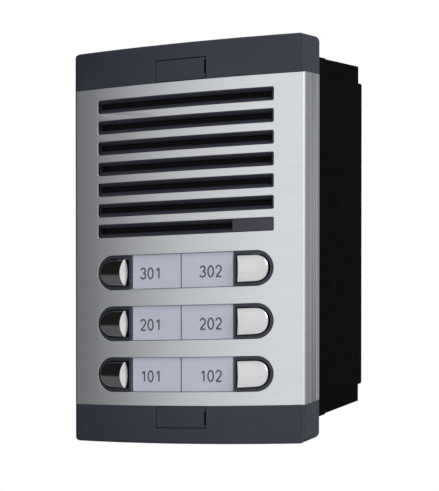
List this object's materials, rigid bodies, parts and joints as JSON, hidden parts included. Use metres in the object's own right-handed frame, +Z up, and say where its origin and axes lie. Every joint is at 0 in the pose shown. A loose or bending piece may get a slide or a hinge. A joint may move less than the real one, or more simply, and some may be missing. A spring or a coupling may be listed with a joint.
{
  "type": "door intercom panel",
  "caption": "Door intercom panel with a bowed brushed front, slotted speaker grille, rows of name cards with call buttons, end caps and a flush wall box.",
  "frame": {"origin": "middle of the panel on the face of the wall, where the panel's rear rim meets the flush box", "axes": "+X to the right as a caller sees it, +Y into the wall, +Z up"},
  "size_m": [0.12, 0.0937, 0.189],
  "materials": {
    "brushed_aluminium": "horizontally brushed, satin anodised",
    "cap_grey": "satin moulded plastic",
    "cover_grey": "satin moulded plastic",
    "grille_grey": "satin moulded plastic",
    "frame_grey": "satin moulded plastic",
    "window_clear": "clear polycarbonate",
    "card_white": "pale grey printed card",
    "button_chrome": "chromed, lightly brushed",
    "silicone_grey": "matt silicone",
    "box_black": "moulded black plastic",
    "inner_black": "moulded black plastic",
    "brass": "turned",
    "rubber_black": "matt rubber",
    "foam_grey": "closed-cell foam",
    "zinc_steel": "zinc plated",
    "mesh_black": "woven acoustic mesh",
    "magnet_grey": "ferrite",
    "cone_paper": "black pressed paper",
    "milky_acrylic": "milky acrylic",
    "circuit_green": "solder mask over glass laminate",
    "led_white": "surface-mount lamp",
    "component_black": "moulded epoxy",
    "trimmer_blue": "moulded",
    "trimmer_white": "moulded",
    "terminal_green": "moulded",
    "wire_red": "stranded wire, coloured insulation"
  },
  "bodies": {
    "panel": {"back_box": "box_black", "box_inserts": "brass", "cable_grommet": "rubber_black", "wall_gasket": "foam_grey", "face_plate": "brushed_aluminium", "top_cap": "cap_grey", "bottom_cap": "cap_grey", "fixing_screws": "zinc_steel", "speaker_grille": "grille_grey", "acoustic_mesh": "mesh_black", "speaker_bracket": "inner_black", "speaker_gasket": "foam_grey", "speaker_frame": "zinc_steel", "speaker_magnet": "magnet_grey", "speaker_cone": "cone_paper", "microphone_boot": "rubber_black", "microphone_capsule": "zinc_steel", "row_frame_3": "frame_grey", "row_frame_2": "frame_grey", "row_frame_1": "frame_grey", "light_diffusers": "milky_acrylic", "keypad_board": "circuit_green", "backlight_leds": "led_white", "board_connector": "inner_black", "audio_board": "circuit_green", "audio_components": "component_black", "trimmer_bases": "trimmer_blue", "terminal_block": "terminal_green", "terminal_screws": "zinc_steel", "rear_cover": "inner_black", "cover_screws": "zinc_steel", "inner_wires": "wire_red", "name_window_301": "window_clear", "name_card_301": "card_white", "return_dome_301": "silicone_grey", "name_window_302": "window_clear", "name_card_302": "card_white", "return_dome_302": "silicone_grey", "name_window_201": "window_clear", "name_card_201": "card_white", "return_dome_201": "silicone_grey", "name_window_202": "window_clear", "name_card_202": "card_white", "return_dome_202": "silicone_grey", "name_window_101": "window_clear", "name_card_101": "card_white", "return_dome_101": "silicone_grey", "name_window_102": "window_clear", "name_card_102": "card_white", "return_dome_102": "silicone_grey"},
    "button_301_body": {"button_301": "button_chrome"},
    "button_302_body": {"button_302": "button_chrome"},
    "button_201_body": {"button_201": "button_chrome"},
    "button_202_body": {"button_202": "button_chrome"},
    "button_101_body": {"button_101": "button_chrome"},
    "button_102_body": {"button_102": "button_chrome"},
    "top_cover_body": {"top_screw_cover": "cover_grey"},
    "bottom_cover_body": {"bottom_screw_cover": "cover_grey"},
    "speaker_trimmer_body": {"speaker_trimmer": "trimmer_white"},
    "microphone_trimmer_body": {"microphone_trimmer": "trimmer_white"}
  },
  "joints": [
    {"name": "press_301", "type": "slide", "parent": "panel", "child": "button_301_body", "axis": [0, 1, 0], "range_m": [0, 0.0015], "stiffness_N_per_m": 600, "springref_m": -0.0015, "deforming": ["return_dome_301"]},
    {"name": "press_302", "type": "slide", "parent": "panel", "child": "button_302_body", "axis": [0, 1, 0], "range_m": [0, 0.0015], "stiffness_N_per_m": 600, "springref_m": -0.0015, "deforming": ["return_dome_302"]},
    {"name": "press_201", "type": "slide", "parent": "panel", "child": "button_201_body", "axis": [0, 1, 0], "range_m": [0, 0.0015], "stiffness_N_per_m": 600, "springref_m": -0.0015, "deforming": ["return_dome_201"]},
    {"name": "press_202", "type": "slide", "parent": "panel", "child": "button_202_body", "axis": [0, 1, 0], "range_m": [0, 0.0015], "stiffness_N_per_m": 600, "springref_m": -0.0015, "deforming": ["return_dome_202"]},
    {"name": "press_101", "type": "slide", "parent": "panel", "child": "button_101_body", "axis": [0, 1, 0], "range_m": [0, 0.0015], "stiffness_N_per_m": 600, "springref_m": -0.0015, "deforming": ["return_dome_101"]},
    {"name": "press_102", "type": "slide", "parent": "panel", "child": "button_102_body", "axis": [0, 1, 0], "range_m": [0, 0.0015], "stiffness_N_per_m": 600, "springref_m": -0.0015, "deforming": ["return_dome_102"]},
    {"name": "pull_top_cover", "type": "slide", "parent": "panel", "child": "top_cover_body", "axis": [0, -1, 0], "range_m": [0, 0.009]},
    {"name": "pull_bottom_cover", "type": "slide", "parent": "panel", "child": "bottom_cover_body", "axis": [0, -1, 0], "range_m": [0, 0.009]},
    {"name": "turn_speaker_trimmer", "type": "hinge", "parent": "panel", "child": "speaker_trimmer_body", "pos_m": [-0.025, 0.0078, -0.03], "axis": [0, 1, 0], "range_deg": [-135, 135]},
    {"name": "turn_microphone_trimmer", "type": "hinge", "parent": "panel", "child": "microphone_trimmer_body", "pos_m": [0.025, 0.0078, -0.03], "axis": [0, 1, 0], "range_deg": [-135, 135]}
  ]
}
